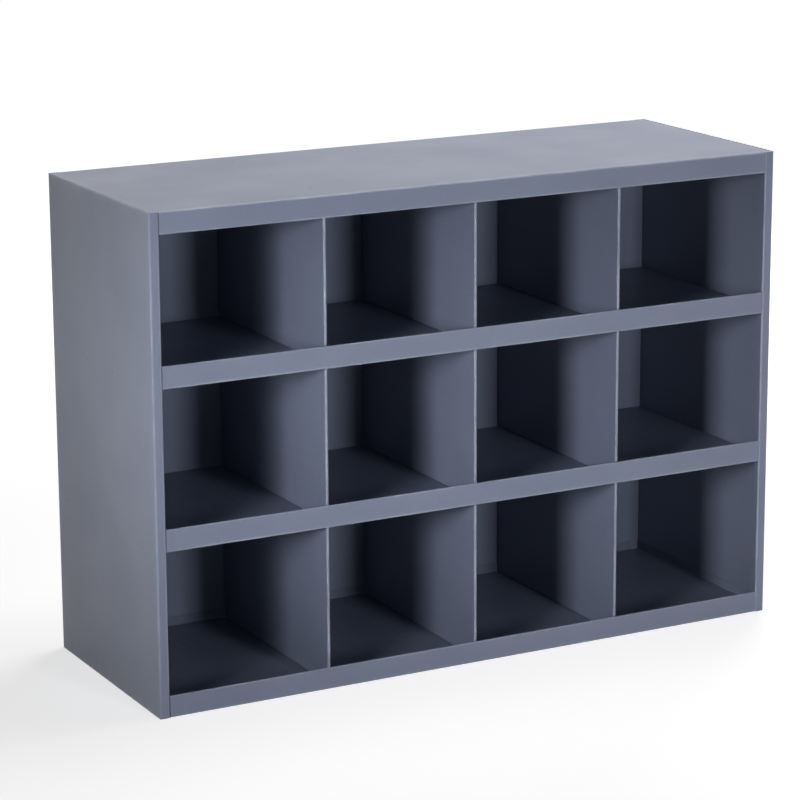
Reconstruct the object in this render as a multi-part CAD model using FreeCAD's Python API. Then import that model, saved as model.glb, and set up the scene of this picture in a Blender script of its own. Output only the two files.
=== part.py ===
import FreeCAD, Part
import math
import os

# Twelve-hole pigeonhole mail sorter in folded sheet steel, four columns by three rows.
# Millimetres. +Z is up, the open front faces -Y, and the origin is the middle of the base.
# Every piece is one folded sheet. Spot welds hold the sheets together, and each weld nugget
# is a small solid of its own that fills matching holes in the sheets that it joins.

# ---- driving dimensions ----------------------------------------------------------------------

overall_width = 857.25
overall_depth = 304.8
overall_height = 606.4

casing_sheet = 0.9            # side panels and top panel
shelf_sheet = 0.9             # the three shelves
divider_sheet = 0.8
back_sheet = 0.8
bend_inside = 1.0             # inside radius of every ordinary fold
hem_inside = 0.6              # inside radius where a lip or the top band is folded double

stile_width = 12.7            # front face of each side panel
stile_return = 9.5            # how far the stile folds back into the case
rear_flange = 13.0            # flange that the side and top panels turn in at the back

band_height = 27.0            # front band under the top panel
band_hem = 11.0               # height of the band's folded-back inner ply
lip_height = 27.0             # front lip of every shelf
base_return = 12.0            # foot that the bottom lip turns in along the ground

lower_lip_bottom = 203.7      # underside of the lower shelf's lip above the ground
upper_lip_bottom = 398.9      # underside of the upper shelf's lip above the ground
floor_rise = 5.0              # shelf floor above the underside of its own lip
shelf_side_flange = 13.0      # flange that each shelf folds along the side panels
shelf_rear_flange = 13.0      # flange that each shelf folds along the back panel
top_side_flange = 13.0        # flange that the top panel turns down along the side panels

column_count = 4
divider_pitch = 203.2
divider_hem_inside = 1.2      # inside radius of the divider's rolled front edge
divider_hem_depth = 10.0      # how far that edge folds back
divider_flange = 12.0         # flanges that each divider turns to the right

seam = 0.3                    # open joint where two sheet edges meet
corner_relief = 2.0           # gap between neighbouring flanges at a folded corner
divider_front_clearance = 0.5  # between the dividers and the folds of the lips in front

weld_diameter = 3.8           # of a nugget: four times the root of the sheet thickness
weld_dimple = 0.1             # how far a nugget's ends lie below the sheet
weld_fit = 0.05               # radial room between a nugget and its hole
hole_overrun = 0.3            # how far a hole cutter reaches past the sheets
same_point = 1e-7             # two points of an outline nearer than this are one
side_weld_count = 4           # through each side flange of a shelf or the top panel
side_weld_end_margin = 30.0
rear_side_weld_count = 6      # up each side panel's rear flange
rear_top_weld_count = 8       # along the top panel's rear flange
shelf_rear_weld_count = 8     # along each shelf's rear flange
rear_weld_end_margin = 45.0
divider_flange_weld_count = 3
divider_weld_end_margin = 35.0
divider_back_weld_count = 2   # between each divider and the back panel

# ---- derived places --------------------------------------------------------------------------

half_width = overall_width / 2
half_depth = overall_depth / 2
wall_inner = half_width - casing_sheet
stile_inner = half_width - stile_width
front_y = -half_depth
rear_flange_face = half_depth - casing_sheet
back_face = rear_flange_face - back_sheet
case_corner = bend_inside + casing_sheet
lip_thickness = 2 * (hem_inside + shelf_sheet)
band_thickness = 2 * (hem_inside + casing_sheet)
divider_hem = 2 * (divider_hem_inside + divider_sheet)
bottom_floor = floor_rise
lower_floor = lower_lip_bottom + floor_rise
upper_floor = upper_lip_bottom + floor_rise
ceiling = overall_height - casing_sheet
lip_half_length = stile_inner - seam
divider_front = front_y + max(lip_thickness, band_thickness) + bend_inside + divider_front_clearance

weld_groups = {}
weld_holes = []


# ---- folded sheet ----------------------------------------------------------------------------

def unit(a, b):
    """Direction from a to b, in the drawing plane."""
    length = math.hypot(b[0] - a[0], b[1] - a[1])
    return (b[0] - a[0]) / length, (b[1] - a[1]) / length


def sheet_outline(path, thickness, radii):
    """Outline of a folded sheet that lies to the right of a path along its skin.

    radii holds the inside radius of the fold at each inner point of the path, and no fold is
    over a right angle. The outline is a list of ("line", end) and ("arc", middle, end).
    """
    outline = []
    far_arcs = []
    start = unit(path[0], path[1])
    far_start = (path[0][0] + start[1] * thickness, path[0][1] - start[0] * thickness)
    for corner in range(1, len(path) - 1):
        before = unit(path[corner - 1], path[corner])
        after = unit(path[corner], path[corner + 1])
        turn = before[0] * after[1] - before[1] * after[0]
        angle = math.asin(min(1.0, abs(turn)))
        near_radius = radii[corner - 1] + (thickness if turn < 0 else 0.0)
        far_radius = radii[corner - 1] + (0.0 if turn < 0 else thickness)
        reach = near_radius * math.tan(angle / 2)
        hand = -1.0 if turn < 0 else 1.0
        entry = (path[corner][0] - before[0] * reach, path[corner][1] - before[1] * reach)
        leave = (path[corner][0] + after[0] * reach, path[corner][1] + after[1] * reach)
        centre = (entry[0] - before[1] * near_radius * hand, entry[1] + before[0] * near_radius * hand)
        toward = unit(centre, path[corner])
        far_entry = (centre[0] + before[1] * far_radius * hand, centre[1] - before[0] * far_radius * hand)
        far_leave = (centre[0] + after[1] * far_radius * hand, centre[1] - after[0] * far_radius * hand)
        near_middle = (centre[0] + toward[0] * near_radius, centre[1] + toward[1] * near_radius)
        far_middle = (centre[0] + toward[0] * far_radius, centre[1] + toward[1] * far_radius)
        outline.append(("line", entry))
        outline.append(("arc", near_middle, leave))
        far_arcs.append((far_entry, far_middle, far_leave))
    outline.append(("line", path[-1]))
    finish = unit(path[-2], path[-1])
    far_end = (path[-1][0] + finish[1] * thickness, path[-1][1] - finish[0] * thickness)
    outline.append(("line", far_end))
    for far_entry, far_middle, far_leave in reversed(far_arcs):
        outline.append(("line", far_leave))
        outline.append(("arc", far_middle, far_entry))
    outline.append(("line", far_start))
    outline.append(("line", path[0]))
    return outline


def folded_sheet(path, thickness, radii, place, sweep):
    """Solid of a folded sheet: place turns a drawing point into a vector, sweep is its length."""
    edges = []
    here = place(path[0])
    for piece in sheet_outline(path, thickness, radii):
        end = place(piece[-1])
        if here.distanceToPoint(end) < same_point:
            continue
        if piece[0] == "line":
            edges.append(Part.LineSegment(here, end).toShape())
        else:
            edges.append(Part.Arc(here, place(piece[1]), end).toShape())
        here = end
    return Part.Face(Part.Wire(edges)).extrude(sweep)


def block(low, high):
    """Box between two corners."""
    size = [high[axis] - low[axis] for axis in range(3)]
    return Part.makeBox(size[0], size[1], size[2], FreeCAD.Vector(low[0], low[1], low[2]))


def profile_along_x(path, thickness, radii, half_length):
    """Sheet drawn in the Y-Z plane and run across the width."""
    place = lambda point: FreeCAD.Vector(-half_length, point[0], point[1])
    return folded_sheet(path, thickness, radii, place, FreeCAD.Vector(2 * half_length, 0, 0))


def profile_along_y(path, thickness, radii, start, end):
    """Sheet drawn in the X-Z plane and run from front to back."""
    place = lambda point: FreeCAD.Vector(point[0], start, point[1])
    return folded_sheet(path, thickness, radii, place, FreeCAD.Vector(0, end - start, 0))


def profile_along_z(path, thickness, radii, bottom, top):
    """Sheet drawn in the X-Y plane and run upward."""
    place = lambda point: FreeCAD.Vector(point[0], point[1], bottom)
    return folded_sheet(path, thickness, radii, place, FreeCAD.Vector(0, 0, top - bottom))


def mirrored(shape):
    """The same shape on the other side of the case."""
    return shape.mirror(FreeCAD.Vector(0, 0, 0), FreeCAD.Vector(1, 0, 0))


def joined(parts):
    """One solid from parts that share faces."""
    return parts[0].fuse(parts[1:]).removeSplitter()


# ---- spot welds ------------------------------------------------------------------------------

def spread(low, high, count):
    """Evenly spaced places from low to high."""
    if count == 1:
        return [(low + high) / 2]
    return [low + (high - low) * index / (count - 1) for index in range(count)]


def spot_weld(group, start, direction, stack):
    """Nugget through a stack of sheets that begins at start, and its hole."""
    axis = FreeCAD.Vector(*direction)
    base = FreeCAD.Vector(*start)
    radius = weld_diameter / 2
    nugget_base = base + axis * weld_dimple
    nugget = Part.makeCylinder(radius - weld_fit, stack - 2 * weld_dimple, nugget_base, axis)
    weld_groups.setdefault(group, []).append(nugget)
    hole_base = base - axis * hole_overrun
    weld_holes.append(Part.makeCylinder(radius, stack + 2 * hole_overrun, hole_base, axis))


def rows():
    """Each row's name, floor, underside of what is above it, and the folds at its back.

    The folds are how far a flange hangs from above and how far one stands up from the floor.
    """
    flange = shelf_rear_flange - shelf_sheet
    return [
        ("bottom", bottom_floor, lower_floor - shelf_sheet, flange, flange),
        ("middle", lower_floor, upper_floor - shelf_sheet, flange, 0),
        ("top", upper_floor, ceiling, bend_inside, 0),
    ]


def flange_middle(flange, sheet):
    """Middle of a flange's flat stretch, measured from the outside of its fold."""
    return (flange + sheet + bend_inside) / 2


def shelf_weld_heights(flange):
    """Weld heights on the bottom shelf's standing flange and on the hanging ones above it."""
    middle = flange_middle(flange, shelf_sheet)
    return [bottom_floor - shelf_sheet + middle, lower_floor - middle, upper_floor - middle]


def plan_side_welds():
    """Welds from each side panel into the side flanges of the shelves and the top panel."""
    front = front_y + stile_return + side_weld_end_margin
    rear = back_face - side_weld_end_margin
    levels = [(height, shelf_sheet) for height in shelf_weld_heights(shelf_side_flange)]
    levels.append((overall_height - flange_middle(top_side_flange, casing_sheet), casing_sheet))
    for height, sheet in levels:
        stack = casing_sheet + sheet
        for depth in spread(front, rear, side_weld_count):
            spot_weld("left_side_welds", (-half_width, depth, height), (1, 0, 0), stack)
            spot_weld("right_side_welds", (half_width, depth, height), (-1, 0, 0), stack)


def plan_back_welds():
    """Welds that hold the back panel to the flanges all round it and to the shelves."""
    across = half_width - flange_middle(rear_flange, casing_sheet)
    for height in spread(rear_weld_end_margin, overall_height - rear_weld_end_margin, rear_side_weld_count):
        for side in (-1, 1):
            start = (side * across, half_depth, height)
            spot_weld("back_frame_welds", start, (0, -1, 0), casing_sheet + back_sheet)
    top_height = overall_height - flange_middle(rear_flange, casing_sheet)
    edge = stile_inner - rear_weld_end_margin
    for place in spread(-edge, edge, rear_top_weld_count):
        start = (place, half_depth, top_height)
        spot_weld("back_frame_welds", start, (0, -1, 0), casing_sheet + back_sheet)
    for height in shelf_weld_heights(shelf_rear_flange):
        for place in spread(-edge, edge, shelf_rear_weld_count):
            start = (place, rear_flange_face, height)
            spot_weld("shelf_back_welds", start, (0, -1, 0), back_sheet + shelf_sheet)


def divider_places():
    """Middle of every line of dividers, from left to right."""
    first = -divider_pitch * (column_count - 2) / 2
    return [first + divider_pitch * index for index in range(column_count - 1)]


def plan_divider_welds():
    """Welds that hold the dividers to the floors above and below them and to the back."""
    front = divider_front + divider_hem_depth + divider_weld_end_margin
    rear = back_face - divider_weld_end_margin
    levels = [
        (bottom_floor - shelf_sheet, shelf_sheet + divider_sheet),
        (lower_floor - shelf_sheet - divider_sheet, shelf_sheet + 2 * divider_sheet),
        (upper_floor - shelf_sheet - divider_sheet, shelf_sheet + 2 * divider_sheet),
        (ceiling - divider_sheet, casing_sheet + divider_sheet),
    ]
    for place in divider_places():
        across = place - divider_hem / 2 + flange_middle(divider_flange, divider_sheet)
        for height, stack in levels:
            for depth in spread(front, rear, divider_flange_weld_count):
                spot_weld("divider_floor_welds", (across, depth, height), (0, 0, 1), stack)
        for _, floor, roof, _, _ in rows():
            margin = (roof - floor) / (divider_back_weld_count + 1)
            for height in spread(floor + margin, roof - margin, divider_back_weld_count):
                start = (across, rear_flange_face, height)
                spot_weld("divider_back_welds", start, (0, -1, 0), back_sheet + divider_sheet)


# ---- pieces ----------------------------------------------------------------------------------

def side_panel():
    """Left side panel: wall, front stile folded back on itself, and rear flange."""
    path = [
        (-stile_inner, front_y + stile_return),
        (-stile_inner, front_y),
        (-half_width, front_y),
        (-half_width, half_depth),
        (-half_width + rear_flange, half_depth),
    ]
    panel = profile_along_z(path, casing_sheet, [bend_inside] * 3, 0, overall_height)
    # the stile and the rear flange stop just under the top panel, which covers their ends
    tops = [
        block(
            (-wall_inner, front_y - seam, ceiling - seam),
            (-stile_inner + seam, front_y + stile_return + seam, overall_height + seam),
        ),
        block(
            (-wall_inner, half_depth - case_corner, ceiling - seam),
            (-half_width + rear_flange + seam, half_depth + seam, overall_height + seam),
        ),
    ]
    return panel.cut(tops)


def side_flange(skin_height, sheet, length, standing, front, rear):
    """Flange along the left side panel, folded up or down from a floor whose top is at skin_height."""
    if standing:
        fold_x = -wall_inner + sheet
        tip_height = skin_height - sheet + length
    else:
        fold_x = -wall_inner
        tip_height = skin_height - length
    path = [
        (fold_x, tip_height),
        (fold_x, skin_height),
        (-wall_inner + sheet + bend_inside, skin_height),
    ]
    return profile_along_y(path, sheet, [bend_inside], front, rear)


def top_panel():
    """Top sheet with a double front band, side flanges and a rear flange."""
    sheet = casing_sheet
    hem_end = overall_height - band_height + band_hem
    path = [
        (front_y + band_thickness, hem_end),
        (front_y + band_thickness, overall_height - band_height),
        (front_y, overall_height - band_height),
        (front_y, overall_height),
        (half_depth, overall_height),
        (half_depth, overall_height - rear_flange),
    ]
    radii = [hem_inside, hem_inside, bend_inside, bend_inside]
    folded = profile_along_x(path, sheet, radii, lip_half_length)
    fold = sheet + bend_inside
    flat_half = wall_inner - fold
    flat = block((-flat_half, front_y, ceiling), (flat_half, half_depth, overall_height))
    middle = block((-lip_half_length, front_y, ceiling), (lip_half_length, half_depth, overall_height))
    tabs = flat.cut(middle)
    front = front_y + stile_return + corner_relief
    rear = rear_flange_face - corner_relief
    left = side_flange(overall_height, sheet, top_side_flange, False, front, rear)
    ears = []
    for low_y, high_y in ((front_y, front), (rear, half_depth)):
        for side in (-1, 1):
            low_x = min(side * flat_half, side * (wall_inner - seam))
            high_x = max(side * flat_half, side * (wall_inner - seam))
            ears.append(block((low_x, low_y, ceiling), (high_x, high_y, overall_height)))
    panel = joined([folded, tabs, left, mirrored(left)] + ears)
    # the rear flange stops short of the side panels' rear flanges
    for side in (-1, 1):
        inner = side * (half_width - rear_flange - seam)
        outer = side * half_width
        low = (min(inner, outer), half_depth - case_corner, 0)
        high = (max(inner, outer), half_depth + seam, ceiling)
        panel = panel.cut(block(low, high))
    # its corners are as round as the case's
    outline = block((-half_width, front_y, 0), (half_width, half_depth, overall_height + seam))
    upright = [edge for edge in outline.Edges if abs(edge.Vertexes[0].Z - edge.Vertexes[-1].Z) > seam]
    return panel.common(outline.makeFillet(case_corner, upright))


def shelf(lip_bottom, on_ground):
    """Shelf with a double front lip, side flanges and a rear flange.

    The one on the ground stands on a foot folded in under its lip, and its flanges stand up.
    """
    sheet = shelf_sheet
    floor = lip_bottom + floor_rise
    lip_top = lip_bottom + lip_height
    lip_inner = front_y + lip_thickness
    path = [
        (front_y, lip_bottom),
        (front_y, lip_top),
        (lip_inner, lip_top),
        (lip_inner, floor),
    ]
    radii = [hem_inside, hem_inside, bend_inside, bend_inside]
    if on_ground:
        path.insert(0, (front_y + base_return, lip_bottom))
        radii.insert(0, bend_inside)
        path.append((back_face - sheet, floor))
        path.append((back_face - sheet, floor - sheet + shelf_rear_flange))
    else:
        path.append((back_face, floor))
        path.append((back_face, floor - shelf_rear_flange))
    folded = profile_along_x(path, sheet, radii, lip_half_length)
    fold = sheet + bend_inside
    flat_half = wall_inner - fold
    front = front_y + stile_return + corner_relief
    rear = back_face - fold
    flat = block((-flat_half, front, floor - sheet), (flat_half, rear, floor))
    left = side_flange(floor, sheet, shelf_side_flange, on_ground, front, rear - corner_relief)
    return joined([folded, flat, left, mirrored(left)])


def back_panel():
    """Flat sheet inside the rear flanges."""
    edge = wall_inner - bend_inside - seam
    top = ceiling - bend_inside - seam
    return block((-edge, back_face, 0), (edge, rear_flange_face, top))


def divider(place, floor, roof, hanging_flange, standing_flange):
    """Upright sheet between two shelves, with a rolled front edge and three flanges.

    Notches at the back clear a flange that hangs from above and one that stands on the floor.
    """
    sheet = divider_sheet
    left = place - divider_hem / 2
    right = place + divider_hem / 2
    fold = sheet + bend_inside
    bottom = floor + fold
    top = roof - fold
    wall_path = [
        (right, divider_front + divider_hem_depth),
        (right, divider_front),
        (left, divider_front),
        (left, back_face),
        (left + divider_flange, back_face),
    ]
    radii = [divider_hem_inside, divider_hem_inside, bend_inside]
    wall = profile_along_z(wall_path, sheet, radii, bottom, top)
    front = divider_front + divider_hem_depth + corner_relief
    rear = back_face - fold - corner_relief
    low_path = [
        (left + divider_flange, floor),
        (left, floor),
        (left, bottom),
    ]
    high_path = [
        (left, top),
        (left, roof),
        (left + divider_flange, roof),
    ]
    low = profile_along_y(low_path, sheet, [bend_inside], front, rear)
    high = profile_along_y(high_path, sheet, [bend_inside], front, rear)
    # the plain edges in front of and behind the flanges run on to the floors
    stubs = []
    for low_z, high_z in ((floor, bottom), (top, roof)):
        stubs.append(profile_along_z(wall_path, sheet, radii, low_z, high_z))
    clear_low = (left - seam, front - corner_relief, floor - seam)
    clear_high = (left + divider_flange + seam, rear + corner_relief, roof + seam)
    keep_clear = block(clear_low, clear_high)
    stubs = [stub.cut(keep_clear) for stub in stubs]
    notch_front = back_face - shelf_sheet - bend_inside - seam
    spans = [(roof - hanging_flange - seam, roof + seam)]
    if standing_flange > 0:
        spans.append((floor - seam, floor + standing_flange + seam))
    notches = []
    for low_z, high_z in spans:
        notch_low = (left - seam, notch_front, low_z)
        notch_high = (left + divider_flange + seam, back_face + seam, high_z)
        notches.append(block(notch_low, notch_high))
    return joined([wall, low, high] + stubs).cut(notches)


# ---- build and export ------------------------------------------------------------------------

plan_side_welds()
plan_back_welds()
plan_divider_welds()
all_holes = Part.makeCompound(weld_holes)

pieces = {}
pieces["left_side_panel"] = side_panel()
pieces["right_side_panel"] = mirrored(side_panel())
pieces["top_panel"] = top_panel()
pieces["bottom_shelf"] = shelf(0, True)
pieces["lower_shelf"] = shelf(lower_lip_bottom, False)
pieces["upper_shelf"] = shelf(upper_lip_bottom, False)
pieces["back_panel"] = back_panel()

for row, floor, roof, hanging_flange, standing_flange in rows():
    for index, place in enumerate(divider_places()):
        name = "%s_row_divider_%d" % (row, index + 1)
        pieces[name] = divider(place, floor, roof, hanging_flange, standing_flange)

os.makedirs("parts", exist_ok=True)
for name, shape in pieces.items():
    drilled = shape.cut(all_holes)
    solids = drilled.Solids
    print(name, len(solids), "solid", drilled.isValid(), round(drilled.Volume, 1))
    solids[0].exportStep("parts/%s.step" % name)
for name, nuggets in weld_groups.items():
    print(name, len(nuggets), "nuggets")
    Part.makeCompound(nuggets).exportStep("parts/%s.step" % name)
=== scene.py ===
import math

import bmesh
import bpy
from mathutils import Matrix, Vector


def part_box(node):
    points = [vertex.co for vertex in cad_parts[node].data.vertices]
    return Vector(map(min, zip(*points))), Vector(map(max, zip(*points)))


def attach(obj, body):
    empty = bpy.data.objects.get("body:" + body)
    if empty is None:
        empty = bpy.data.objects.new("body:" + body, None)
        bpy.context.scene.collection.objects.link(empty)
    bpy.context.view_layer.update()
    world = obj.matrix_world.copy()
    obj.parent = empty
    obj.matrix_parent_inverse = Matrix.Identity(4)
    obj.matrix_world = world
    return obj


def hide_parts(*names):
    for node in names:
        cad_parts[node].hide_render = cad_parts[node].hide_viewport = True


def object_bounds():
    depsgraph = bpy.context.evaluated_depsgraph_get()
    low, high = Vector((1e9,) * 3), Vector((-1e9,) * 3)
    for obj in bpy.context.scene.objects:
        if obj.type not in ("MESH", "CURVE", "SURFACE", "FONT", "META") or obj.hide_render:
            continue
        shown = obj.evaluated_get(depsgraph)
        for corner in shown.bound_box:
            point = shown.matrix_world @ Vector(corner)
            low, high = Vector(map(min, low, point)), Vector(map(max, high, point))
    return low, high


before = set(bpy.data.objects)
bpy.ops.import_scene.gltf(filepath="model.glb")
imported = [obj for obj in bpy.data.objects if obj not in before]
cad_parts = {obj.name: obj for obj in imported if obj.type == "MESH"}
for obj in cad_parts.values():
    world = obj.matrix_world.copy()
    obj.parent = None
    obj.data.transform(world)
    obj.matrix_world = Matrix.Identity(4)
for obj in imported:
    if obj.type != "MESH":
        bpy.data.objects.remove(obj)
cad_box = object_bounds()


# ---- Case: side panels and top panel -----------------------------------------------------------
# Three folded sheets of 0.9 mm steel, spot-welded to the shelves and sprayed with blue-grey
# polyester powder. The folds are rounded by the press brake, and the stove-cured film flows
# into a satin skin with a fine orange peel, fuller beside an edge and rubbed thin on it. The
# crown of each fold is coloured lighter, partly as that wear and partly as a painted highlight.

case_skin = "#737B90"
case_thick_film = "#788095"
case_grain = "#5D6578"
# lighter crown of the folds: partly rubbed wear, partly a painted highlight of the bend
rubbed_and_highlit_film = "#9AA2B3"
stile_width_mm = 12.7
band_height_mm = 27.0

# the inputs of a Mix node for colours, which only their numbers tell apart
mix_share, mix_from, mix_to = 0, 6, 7


def linear(hex_colour):
    """A colour written as sRGB, as the linear values that a shader takes."""
    channels = [int(hex_colour[i:i + 2], 16) / 255 for i in (1, 3, 5)]
    return [c / 12.92 if c <= 0.04045 else ((c + 0.055) / 1.055) ** 2.4 for c in channels] + [1.0]


def add_node(tree, kind, inputs=(), **settings):
    """Adds a node with its settings, and gives each of its inputs a value or a link."""
    node = tree.nodes.new(kind)
    for name, value in settings.items():
        setattr(node, name, value)
    for name, value in dict(inputs).items():
        if isinstance(value, bpy.types.NodeSocket):
            tree.links.new(value, node.inputs[name])
        else:
            node.inputs[name].default_value = value
    return node


def fold_distance(tree, place, folds):
    """Distance in metres from the nearest fold, the same left and right of the middle.

    Each fold is a straight line: the axis it runs along, then its place on the other two axes.
    """
    parts = add_node(tree, "ShaderNodeSeparateXYZ", {0: place}).outputs
    outward = add_node(tree, "ShaderNodeMath", {0: parts["X"]}, operation="ABSOLUTE").outputs[0]
    halved = add_node(tree, "ShaderNodeCombineXYZ", {
        "X": outward, "Y": parts["Y"], "Z": parts["Z"]}).outputs[0]
    nearest = 1.0  # a metre is further than any point of the case lies from a fold
    for axis, first, second in folds:
        across = Vector((axis != "X", axis != "Y", axis != "Z"))
        middle = {"X": (0, first, second), "Y": (first, 0, second), "Z": (first, second, 0)}[axis]
        gap = add_node(tree, "ShaderNodeVectorMath", {
            0: halved, 1: across, 2: -Vector(middle)}, operation="MULTIPLY_ADD").outputs[0]
        length = add_node(tree, "ShaderNodeVectorMath", {0: gap},
                          operation="LENGTH").outputs["Value"]
        nearest = add_node(tree, "ShaderNodeMath", {0: length, 1: nearest},
                           operation="MINIMUM").outputs[0]
    return nearest


def hand_wear_and_highlight(tree, place, from_fold, pitch_mm):
    """How far hands and paper have rubbed a fold's crown, in patches, and its painted highlight, 0
    to 1.

    Where pitch_mm gives the spacing of the holes, the middle of each hole is rubbed most.
    """
    patch_mm = 45
    crown_mm = 0.8
    plain_beyond_mm = 3.0
    crown = add_node(tree, "ShaderNodeMapRange", {
        "Value": from_fold, "From Min": crown_mm / 1000, "From Max": plain_beyond_mm / 1000,
        "To Min": 0.75, "To Max": 0.0}, interpolation_type="SMOOTHSTEP").outputs["Result"]
    patch = add_node(tree, "ShaderNodeTexNoise", {
        "Vector": place, "Scale": 1000 / patch_mm, "Detail": 2.0}).outputs["Fac"]
    wear_and_highlight = add_node(tree, "ShaderNodeMapRange", {
        "Value": patch, "From Min": 0.36, "From Max": 0.64, "To Min": 0.4}).outputs["Result"]
    wear_and_highlight = add_node(tree, "ShaderNodeMath", {0: wear_and_highlight, 1: crown}, operation="MULTIPLY").outputs[0]
    if pitch_mm:
        parts = add_node(tree, "ShaderNodeSeparateXYZ", {0: place}).outputs
        turn = add_node(tree, "ShaderNodeMath", {0: parts["X"], 1: math.pi * 1000 / pitch_mm},
                        operation="MULTIPLY").outputs[0]
        swing = add_node(tree, "ShaderNodeMath", {0: turn}, operation="SINE").outputs[0]
        swing = add_node(tree, "ShaderNodeMath", {0: swing}, operation="ABSOLUTE").outputs[0]
        reach = add_node(tree, "ShaderNodeMapRange", {
            "Value": swing, "To Min": 0.35}).outputs["Result"]
        wear_and_highlight = add_node(tree, "ShaderNodeMath", {0: wear_and_highlight, 1: reach},
                        operation="MULTIPLY").outputs[0]
    return wear_and_highlight


def powder_coat(name, skin, thick_film, grain, folds=(), deep_shade_and_thin_film=None, rub_mm=None,
                pitch_mm=None):
    """Satin polyester powder on steel sheet.

    folds are the lines where handling rubs the film thin, most in the middle of each hole where
    pitch_mm gives their spacing, and a lighter tone there is partly a painted highlight of the
    bend.
    The deep colour darkens the back of a hole as painted shade, and stands too for the thinner
    film where little powder gets. rub_mm is the length of the faint streaks, front to back, that
    sliding paper polishes into it.
    """
    material = bpy.data.materials.new(name)
    material.use_nodes = True
    tree = material.node_tree
    tree.nodes.clear()
    place = add_node(tree, "ShaderNodeTexCoord").outputs["Object"]

    # the film is a little thicker and smoother in soft clouds
    cloud_mm = 130
    clouds = add_node(tree, "ShaderNodeTexNoise", {
        "Vector": place, "Scale": 1000 / cloud_mm, "Detail": 3.0}).outputs["Fac"]
    amount = add_node(tree, "ShaderNodeMapRange", {
        "Value": clouds, "From Min": 0.35, "From Max": 0.65}).outputs["Result"]
    tone = add_node(tree, "ShaderNodeMix", {
        mix_share: amount, mix_from: linear(skin), mix_to: linear(thick_film)},
        data_type="RGBA").outputs[2]
    roughness = add_node(tree, "ShaderNodeMapRange", {
        "Value": clouds, "From Min": 0.3, "From Max": 0.7, "To Min": 0.47,
        "To Max": 0.41}).outputs["Result"]

    # pigment grain, drawn at 1.4 mm because the real 0.1 mm grain is too fine to show
    grain_mm = 1.4
    speck = add_node(tree, "ShaderNodeTexNoise", {
        "Vector": place, "Scale": 1000 / grain_mm, "Detail": 1.0}).outputs["Fac"]
    speck = add_node(tree, "ShaderNodeMapRange", {
        "Value": speck, "From Min": 0.52, "From Max": 0.78, "To Max": 0.35}).outputs["Result"]
    tone = add_node(tree, "ShaderNodeMix", {
        mix_share: speck, mix_from: tone, mix_to: linear(grain)}, data_type="RGBA").outputs[2]

    # painted shade: the colour darkens from just behind the mouth to the back panel, standing too
    # for the thinner film there
    if deep_shade_and_thin_film:
        starved_and_shaded_from, starved_and_shaded_to = -0.14, 0.15  # from just behind the mouth to the back panel
        depth = add_node(tree, "ShaderNodeSeparateXYZ", {0: place}).outputs["Y"]
        starved_and_shaded = add_node(tree, "ShaderNodeMapRange", {
            "Value": depth, "From Min": starved_and_shaded_from, "From Max": starved_and_shaded_to},
            interpolation_type="SMOOTHSTEP").outputs["Result"]
        tone = add_node(tree, "ShaderNodeMix", {
            mix_share: starved_and_shaded, mix_from: tone, mix_to: linear(deep_shade_and_thin_film)},
            data_type="RGBA").outputs[2]

    if rub_mm:
        streak_width_mm = 3.0
        along = add_node(tree, "ShaderNodeMapping", {
            "Vector": place, "Scale": (1.0, streak_width_mm / rub_mm, 1.0)}).outputs["Vector"]
        streak = add_node(tree, "ShaderNodeTexNoise", {
            "Vector": along, "Scale": 1000 / streak_width_mm, "Detail": 2.0}).outputs["Fac"]
        polish = add_node(tree, "ShaderNodeMapRange", {
            "Value": streak, "From Min": 0.5, "From Max": 0.75, "To Max": 0.09}).outputs["Result"]
        roughness = add_node(tree, "ShaderNodeMath", {0: roughness, 1: polish},
                             operation="SUBTRACT").outputs[0]

    if folds:
        from_fold = fold_distance(tree, place, folds)
        # the powder is drawn to an edge, so a strip 14 mm wide beside it is fuller and smoother
        fullest_mm, full_strip_mm = 3, 14
        fuller = add_node(tree, "ShaderNodeMapRange", {
            "Value": from_fold, "From Min": fullest_mm / 1000, "From Max": full_strip_mm / 1000,
            "To Min": 0.04, "To Max": 0.0}, interpolation_type="SMOOTHSTEP").outputs["Result"]
        roughness = add_node(tree, "ShaderNodeMath", {0: roughness, 1: fuller},
                             operation="SUBTRACT").outputs[0]
        # the crown is lightened, partly as rubbed wear and partly as a painted highlight of the
        # bend
        wear_and_highlight = hand_wear_and_highlight(tree, place, from_fold, pitch_mm)
        tone = add_node(tree, "ShaderNodeMix", {
            mix_share: wear_and_highlight, mix_from: tone, mix_to: linear(rubbed_and_highlit_film)},
            data_type="RGBA").outputs[2]

    # a large thin sheet is never quite flat
    wave_mm, wave_height_mm = 240, 2.5
    waves = add_node(tree, "ShaderNodeTexNoise", {
        "Vector": place, "Scale": 1000 / wave_mm, "Detail": 1.0}).outputs["Fac"]
    flatness = add_node(tree, "ShaderNodeBump", {
        "Height": waves, "Distance": wave_height_mm / 1000}).outputs["Normal"]

    # the film sets with an orange peel
    peel_mm, peel_height_mm = 2.6, 0.05
    peel = add_node(tree, "ShaderNodeTexNoise", {
        "Vector": place, "Scale": 1000 / peel_mm, "Detail": 2.0, "Roughness": 0.4}).outputs["Fac"]
    surface = add_node(tree, "ShaderNodeBump", {
        "Height": peel, "Distance": peel_height_mm / 1000, "Normal": flatness}).outputs["Normal"]

    paint = add_node(tree, "ShaderNodeBsdfPrincipled", {
        "Base Color": tone, "Roughness": roughness, "IOR": 1.5, "Normal": surface})
    add_node(tree, "ShaderNodeOutputMaterial", {"Surface": paint.outputs["BSDF"]})
    return material


def coat_sheet(node_name, material):
    """Sprays a packed sheet with its coat."""
    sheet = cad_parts[node_name]
    if not sheet.material_slots:
        sheet.data.materials.append(material)
    for material_slot in sheet.material_slots:
        material_slot.link = "OBJECT"
        material_slot.material = material


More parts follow.
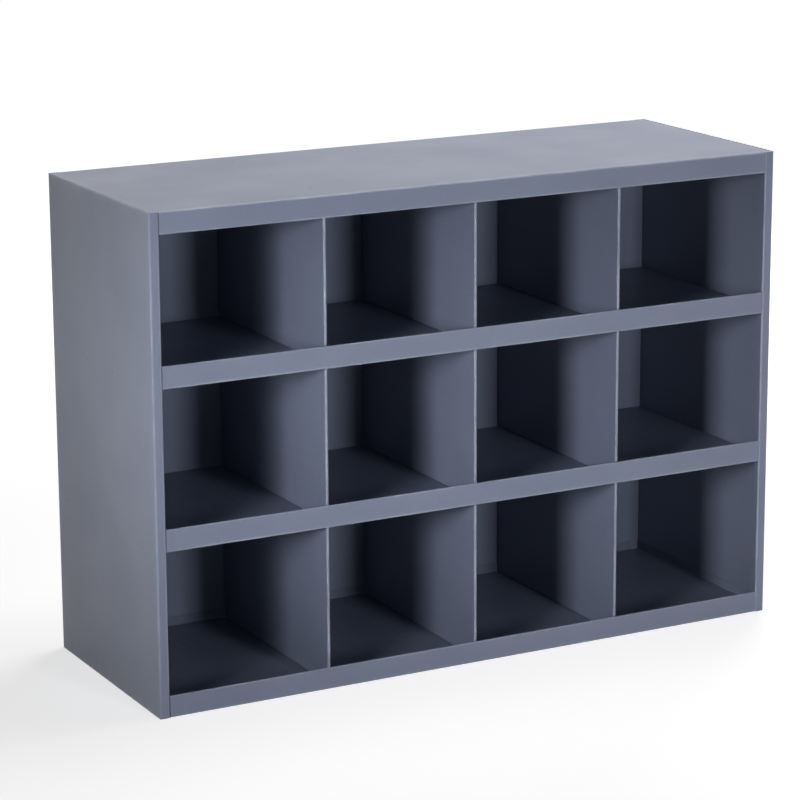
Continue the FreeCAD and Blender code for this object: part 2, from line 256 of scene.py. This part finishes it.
case_low, case_high = [Vector(corner) for corner in cad_box]
stile_inner = case_high.x - stile_width_mm / 1000
band_bottom = case_high.z - band_height_mm / 1000
side_folds = [
    ("Y", case_high.x, case_high.z), ("Y", case_high.x, case_low.z),
    ("Z", case_high.x, case_low.y), ("Z", case_high.x, case_high.y),
    ("Z", stile_inner, case_low.y),
]
side_coat = powder_coat("satin_powder_coat_side_panels", case_skin, case_thick_film, case_grain,
                        side_folds)
for node_name in ("left_side_panel", "right_side_panel"):
    coat_sheet(node_name, side_coat)

top_folds = [
    ("X", case_low.y, case_high.z), ("X", case_high.y, case_high.z),
    ("X", case_low.y, band_bottom), ("Y", case_high.x, case_high.z),
]
top_coat = powder_coat("satin_powder_coat_top_panel", case_skin, case_thick_film, case_grain,
                       top_folds)
coat_sheet("top_panel", top_coat)


# ---- Shelves -----------------------------------------------------------------------------------
# Three folded sheets whose front edge is doubled back on itself as a 27 mm retaining lip. They
# are coated with the case, and their colour darkens towards the back of the holes, a painted
# shade that stands too for the thinner powder there. Paper that slides in and out polishes the
# floor in faint streaks and rubs the top of the lip, whose lighter crown is partly a painted
# highlight.

shelf_names = ("bottom_shelf", "lower_shelf", "upper_shelf")
shelf_skin = "#737B90"
# darker at the back of the holes: painted shade, and the thinner film there
shelf_deep_shade_and_thin_film = "#646C81"
lip_height_mm = 27.0
lip_thickness_mm = 3.0
hole_pitch_mm = 203.2
floor_streak_mm = 160

lip_folds = []
for node_name in shelf_names:
    lip_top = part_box(node_name)[1][2]
    lip_folds.append(("X", case_low.y + lip_thickness_mm / 2 / 1000, lip_top))
    lip_folds.append(("X", case_low.y, lip_top - lip_height_mm / 1000))
shelf_coat = powder_coat("satin_powder_coat_shelves", shelf_skin, case_thick_film, case_grain,
                         lip_folds, deep_shade_and_thin_film=shelf_deep_shade_and_thin_film, rub_mm=floor_streak_mm,
                         pitch_mm=hole_pitch_mm)
for node_name in shelf_names:
    coat_sheet(node_name, shelf_coat)


# ---- Dividers ----------------------------------------------------------------------------------
# Nine upright sheets of 0.8 mm steel with a rolled front edge, spot-welded by small flanges to
# the floors above and below them and to the back. Same powder, thinner and darker towards the
# back, where the darker tone paints the shade of the holes, and rubbed along the rolled edge that
# hands pass, whose lighter tone is partly a painted highlight.

divider_skin = "#727A8F"
# darker at the back of the holes: painted shade, and the thinner film there
divider_deep_shade_and_thin_film = "#626A7F"
divider_streak_mm = 110

divider_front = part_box("top_row_divider_2")[0][1]
rolled_edges = [("Z", 0.0, divider_front), ("Z", hole_pitch_mm / 1000, divider_front)]
divider_coat = powder_coat("satin_powder_coat_dividers", divider_skin, case_thick_film,
                           case_grain, rolled_edges, deep_shade_and_thin_film=divider_deep_shade_and_thin_film,
                           rub_mm=divider_streak_mm)
for row in ("bottom", "middle", "top"):
    for number in (1, 2, 3):
        coat_sheet("%s_row_divider_%d" % (row, number), divider_coat)


# ---- Back panel --------------------------------------------------------------------------------
# One flat sheet of 0.8 mm steel inside the rear flanges, held by spot welds all round and along
# each shelf. It carries the same powder in a slightly thinner film, coloured darker as painted
# shade for the back of the holes.

# darker than the case: thinner film, and painted shade for the back of the holes
back_skin_and_deep_shade = "#6B7388"
back_thick_film_and_shade = "#71798E"

back_coat = powder_coat("satin_powder_coat_back", back_skin_and_deep_shade, back_thick_film_and_shade, case_grain)
coat_sheet("back_panel", back_coat)


# ---- Spot welds --------------------------------------------------------------------------------
# Resistance welds of 3.8 mm that fuse two or three sheets. The copper tips press a shallow round
# print into the steel on both sides, and the powder covers it, so only a soft dimple shows, which
# is coloured a little darker as painted shade.

# a little darker than the sheets: painted shade in the dimple
weld_skin_and_shade = "#687085"
weld_print_radius_mm = 1.9
weld_tip_share = 0.55
weld_rim_depth_mm = 0.03
weld_dip_mm = 0.2
weld_print_sides = 16
packed_weld_recess_mm = 0.1  # a packed nugget ends this far below the sheet at both ends

weld_coat = powder_coat("satin_powder_coat_weld_prints", weld_skin_and_shade, back_thick_film_and_shade, case_grain)


def weld_print_tree():
    """A nugget on every point: a closed disc as thick as the sheets, with both ends dished.

    One thin blank goes to all points, and its ends are then moved apart. Each point says which
    way its nugget lies and half the thickness of its stack of sheets.
    """
    tree = bpy.data.node_groups.new("spot_weld_prints", "GeometryNodeTree")
    tree.is_modifier = True
    sockets = tree.interface
    sockets.new_socket(name="Weld places", in_out="INPUT", socket_type="NodeSocketGeometry")
    for name in ("Print radius", "Tip radius", "Rim depth", "Dip"):
        sockets.new_socket(name=name, in_out="INPUT", socket_type="NodeSocketFloat")
    sockets.new_socket(name="Coat", in_out="INPUT", socket_type="NodeSocketMaterial")
    sockets.new_socket(name="Welds", in_out="OUTPUT", socket_type="NodeSocketGeometry")
    given = add_node(tree, "NodeGroupInput").outputs

    blank_depth = 0.0001
    blank = add_node(tree, "GeometryNodeMeshCylinder", {
        "Vertices": weld_print_sides, "Side Segments": 1, "Fill Segments": 2,
        "Radius": given["Print radius"], "Depth": blank_depth},
        fill_type="TRIANGLE_FAN").outputs["Mesh"]

    # each end sinks from the rim to the ring that the flat tip leaves
    spot = add_node(tree, "GeometryNodeInputPosition").outputs[0]
    parts = add_node(tree, "ShaderNodeSeparateXYZ", {0: spot}).outputs
    end = add_node(tree, "ShaderNodeMath", {0: parts["Z"]}, operation="SIGN").outputs[0]
    flat = add_node(tree, "ShaderNodeCombineXYZ", {"X": parts["X"], "Y": parts["Y"]}).outputs[0]
    reach = add_node(tree, "ShaderNodeVectorMath", {0: flat}, operation="LENGTH").outputs["Value"]
    press = add_node(tree, "ShaderNodeMapRange", {
        "Value": reach, "From Min": given["Print radius"], "From Max": given["Tip radius"],
        "To Min": 0.0, "To Max": given["Dip"]}, interpolation_type="SMOOTHSTEP").outputs["Result"]
    sunk = add_node(tree, "ShaderNodeMath", {0: press, 1: given["Rim depth"]},
                    operation="ADD").outputs[0]
    for name, value in (("end", end), ("sunk", sunk)):
        blank = add_node(tree, "GeometryNodeStoreNamedAttribute", {
            "Geometry": blank, "Name": name, "Value": value},
            data_type="FLOAT", domain="POINT").outputs[0]

    way = add_node(tree, "GeometryNodeInputNamedAttribute", {"Name": "way"},
                   data_type="FLOAT_VECTOR").outputs[0]
    turn = add_node(tree, "FunctionNodeAlignRotationToVector", {"Vector": way},
                    axis="Z").outputs[0]
    nuggets = add_node(tree, "GeometryNodeInstanceOnPoints", {
        "Points": given["Weld places"], "Instance": blank, "Rotation": turn}).outputs[0]
    welds = add_node(tree, "GeometryNodeRealizeInstances", {"Geometry": nuggets}).outputs[0]

    # every vertex moves along its nugget, out to the sheet's face less its own sinking
    kept = {}
    for name, data_type in (("half_stack", "FLOAT"), ("end", "FLOAT"), ("sunk", "FLOAT"),
                            ("way", "FLOAT_VECTOR")):
        kept[name] = add_node(tree, "GeometryNodeInputNamedAttribute", {"Name": name},
                              data_type=data_type).outputs[0]
    out = add_node(tree, "ShaderNodeMath", {0: kept["half_stack"], 1: kept["sunk"]},
                   operation="SUBTRACT").outputs[0]
    out = add_node(tree, "ShaderNodeMath", {0: out, 1: blank_depth / 2},
                   operation="SUBTRACT").outputs[0]
    out = add_node(tree, "ShaderNodeMath", {0: out, 1: kept["end"]},
                   operation="MULTIPLY").outputs[0]
    shift = add_node(tree, "ShaderNodeVectorMath", {0: kept["way"], "Scale": out},
                     operation="SCALE").outputs[0]
    welds = add_node(tree, "GeometryNodeSetPosition", {
        "Geometry": welds, "Offset": shift}).outputs[0]
    welds = add_node(tree, "GeometryNodeSetMaterial", {
        "Geometry": welds, "Material": given["Coat"]}).outputs[0]
    add_node(tree, "NodeGroupOutput", {"Welds": welds})
    return tree


def weld_places(node_name):
    """Middle, direction and half thickness of each weld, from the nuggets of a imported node."""
    same_place = 1e-6
    solid = bmesh.new()
    solid.from_mesh(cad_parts[node_name].data)
    bmesh.ops.remove_doubles(solid, verts=solid.verts, dist=same_place)
    taken = set()
    places = []
    for start in solid.verts:
        if start in taken:
            continue
        taken.add(start)
        island = [start]
        for vertex in island:
            for edge in vertex.link_edges:
                other = edge.other_vert(vertex)
                if other not in taken:
                    taken.add(other)
                    island.append(other)
        low = Vector([min(v.co[axis] for v in island) for axis in range(3)])
        high = Vector([max(v.co[axis] for v in island) for axis in range(3)])
        size = high - low
        thin = min(range(3), key=lambda axis: size[axis])
        way = Vector([1.0 if axis == thin else 0.0 for axis in range(3)])
        half_stack = size[thin] / 2 + packed_weld_recess_mm / 1000
        places.append(((low + high) / 2, way, half_stack))
    solid.free()
    return places


weld_tree = weld_print_tree()
weld_inputs = {
    "Print radius": weld_print_radius_mm / 1000,
    "Tip radius": weld_print_radius_mm * weld_tip_share / 1000,
    "Rim depth": weld_rim_depth_mm / 1000,
    "Dip": weld_dip_mm / 1000,
    "Coat": weld_coat,
}
for node_name in ("left_side_welds", "right_side_welds", "back_frame_welds", "shelf_back_welds",
                  "divider_floor_welds", "divider_back_welds"):
    places = weld_places(node_name)
    cloud = bpy.data.meshes.new(node_name + "_places")
    cloud.from_pydata([middle for middle, _, _ in places], [], [])
    cloud.attributes.new("way", "FLOAT_VECTOR", "POINT").data.foreach_set(
        "vector", [value for _, way, _ in places for value in way])
    cloud.attributes.new("half_stack", "FLOAT", "POINT").data.foreach_set(
        "value", [half_stack for _, _, half_stack in places])
    prints = bpy.data.objects.new(node_name.replace("welds", "weld_prints"), cloud)
    bpy.context.scene.collection.objects.link(prints)
    press = prints.modifiers.new("spot_weld_prints", "NODES")
    press.node_group = weld_tree
    for socket in weld_tree.interface.items_tree:
        if socket.in_out == "INPUT" and socket.name in weld_inputs:
            press[socket.identifier] = weld_inputs[socket.name]
    bpy.context.view_layer.update()
    evaluated = prints.evaluated_get(bpy.context.evaluated_depsgraph_get())
    pressed = bpy.data.meshes.new_from_object(evaluated)
    prints.modifiers.clear()
    prints.data = pressed
    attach(prints, "root")
    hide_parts(node_name)


# ---- Floor, light and camera -------------------------------------------------------------------
# A plain pale floor and a white surround. A soft light stands close by on the left of the open
# front, a wide and slightly warm one hangs over the top, a small one in front reaches the back of
# the holes, and one lights the rear of the case.

def soft_light(name, place, aim, size, power):
    """Square area light at place, turned to aim."""
    lamp = bpy.data.lights.new(name, "AREA")
    lamp.shape = "SQUARE"
    lamp.size = size
    lamp.energy = power
    holder = bpy.data.objects.new(name, lamp)
    bpy.context.scene.collection.objects.link(holder)
    holder.location = place
    holder.rotation_euler = (Vector(aim) - Vector(place)).to_track_quat("-Z", "Y").to_euler()
    holder.visible_camera = False
    return holder


left_softbox = soft_light("left_softbox", place=(-1.72, -1.10, 0.70), aim=(-0.08, -0.14, 0.34),
                          size=0.5, power=1.15)
left_softbox.data.spread = math.radians(32)
overhead_softbox = soft_light("overhead_softbox", place=(0.4, 0.05, 2.0), aim=(0.15, -0.05, 0.6),
                              size=0.9, power=18.5)
overhead_softbox.data.color = (1.0, 0.93, 0.89)
front_fill = soft_light("front_fill", place=(0.28, -3.2, 0.75), aim=(0.0, 0.0, 0.33),
                        size=0.4, power=34.5)
front_fill.visible_glossy = False
rear_softbox = soft_light("rear_softbox", place=(2.0, 1.8, 1.3), aim=(0.1, 0.1, 0.33),
                          size=1.1, power=36.0)
rear_softbox.visible_glossy = False


def seen_directly(tree):
    """1 for what the camera sees, mirrored and through glass too, and 0 for light on the case."""
    rays = add_node(tree, "ShaderNodeLightPath").outputs
    seen = add_node(tree, "ShaderNodeMath", {0: rays["Is Camera Ray"], 1: rays["Is Glossy Ray"]},
                    operation="MAXIMUM").outputs[0]
    return add_node(tree, "ShaderNodeMath", {0: seen, 1: rays["Is Transmission Ray"]},
                    operation="MAXIMUM").outputs[0]


floor_half = 6.0
floor_mesh = bpy.data.meshes.new("studio_floor")
floor_mesh.from_pydata([
    (-floor_half, -floor_half, 0), (floor_half, -floor_half, 0),
    (floor_half, floor_half, 0), (-floor_half, floor_half, 0)], [], [(0, 1, 2, 3)])
studio_floor = bpy.data.objects.new("studio_floor", floor_mesh)
bpy.context.scene.collection.objects.link(studio_floor)

# the paper glows more and more away from the case, so that it runs into the white surround
paper_colour = "#C4C4C6"
near_glow, near_radius = 0.68, 0.6
full_glow, full_radius = 1.0, 2.4
floor_paper = bpy.data.materials.new("white_backdrop_paper")
floor_paper.use_nodes = True
paper_tree = floor_paper.node_tree
paper_tree.nodes.clear()
spot = add_node(paper_tree, "ShaderNodeTexCoord").outputs["Object"]
away = add_node(paper_tree, "ShaderNodeVectorMath", {0: spot}, operation="LENGTH").outputs["Value"]
share = add_node(paper_tree, "ShaderNodeMapRange", {
    "Value": away, "From Min": near_radius, "From Max": full_radius, "To Min": near_glow,
    "To Max": full_glow}, interpolation_type="SMOOTHSTEP").outputs["Result"]
share = add_node(paper_tree, "ShaderNodeMath", {0: share, 1: seen_directly(paper_tree)},
                 operation="MULTIPLY").outputs[0]
paper = add_node(paper_tree, "ShaderNodeBsdfDiffuse", {"Color": linear(paper_colour)}).outputs[0]
glow = add_node(paper_tree, "ShaderNodeEmission", {"Strength": share}).outputs[0]
both = add_node(paper_tree, "ShaderNodeAddShader", {0: paper, 1: glow}).outputs[0]
add_node(paper_tree, "ShaderNodeOutputMaterial", {"Surface": both})
floor_mesh.materials.append(floor_paper)

# the surround is white to look at, and adds only this much light to the case
surround_light = 0.04
room = bpy.data.worlds.new("white_studio")
bpy.context.scene.world = room
room.use_nodes = True
room_tree = room.node_tree
room_tree.nodes.clear()
level = add_node(room_tree, "ShaderNodeMapRange", {
    "Value": seen_directly(room_tree), "To Min": surround_light, "To Max": 1.0}).outputs["Result"]
surround = add_node(room_tree, "ShaderNodeBackground", {"Color": (1, 1, 1, 1), "Strength": level})
add_node(room_tree, "ShaderNodeOutputWorld", {"Surface": surround.outputs[0]})

camera_place = (-1.7692, -3.2768, 1.2379)
camera_heading = math.radians(28.016)
camera_dip = math.radians(13.499)
camera_roll = math.radians(-0.297)
camera_data = bpy.data.cameras.new("studio_camera")
camera_data.sensor_width = 36.0
camera_data.lens = 136.91
camera_data.shift_y = -0.04
studio_camera = bpy.data.objects.new("studio_camera", camera_data)
bpy.context.scene.collection.objects.link(studio_camera)
studio_camera.matrix_world = (
    Matrix.Translation(camera_place) @ Matrix.Rotation(-camera_heading, 4, "Z")
    @ Matrix.Rotation(math.pi / 2 - camera_dip, 4, "X") @ Matrix.Rotation(camera_roll, 4, "Z"))
bpy.context.scene.camera = studio_camera
bpy.context.scene.view_settings.view_transform = "Standard"
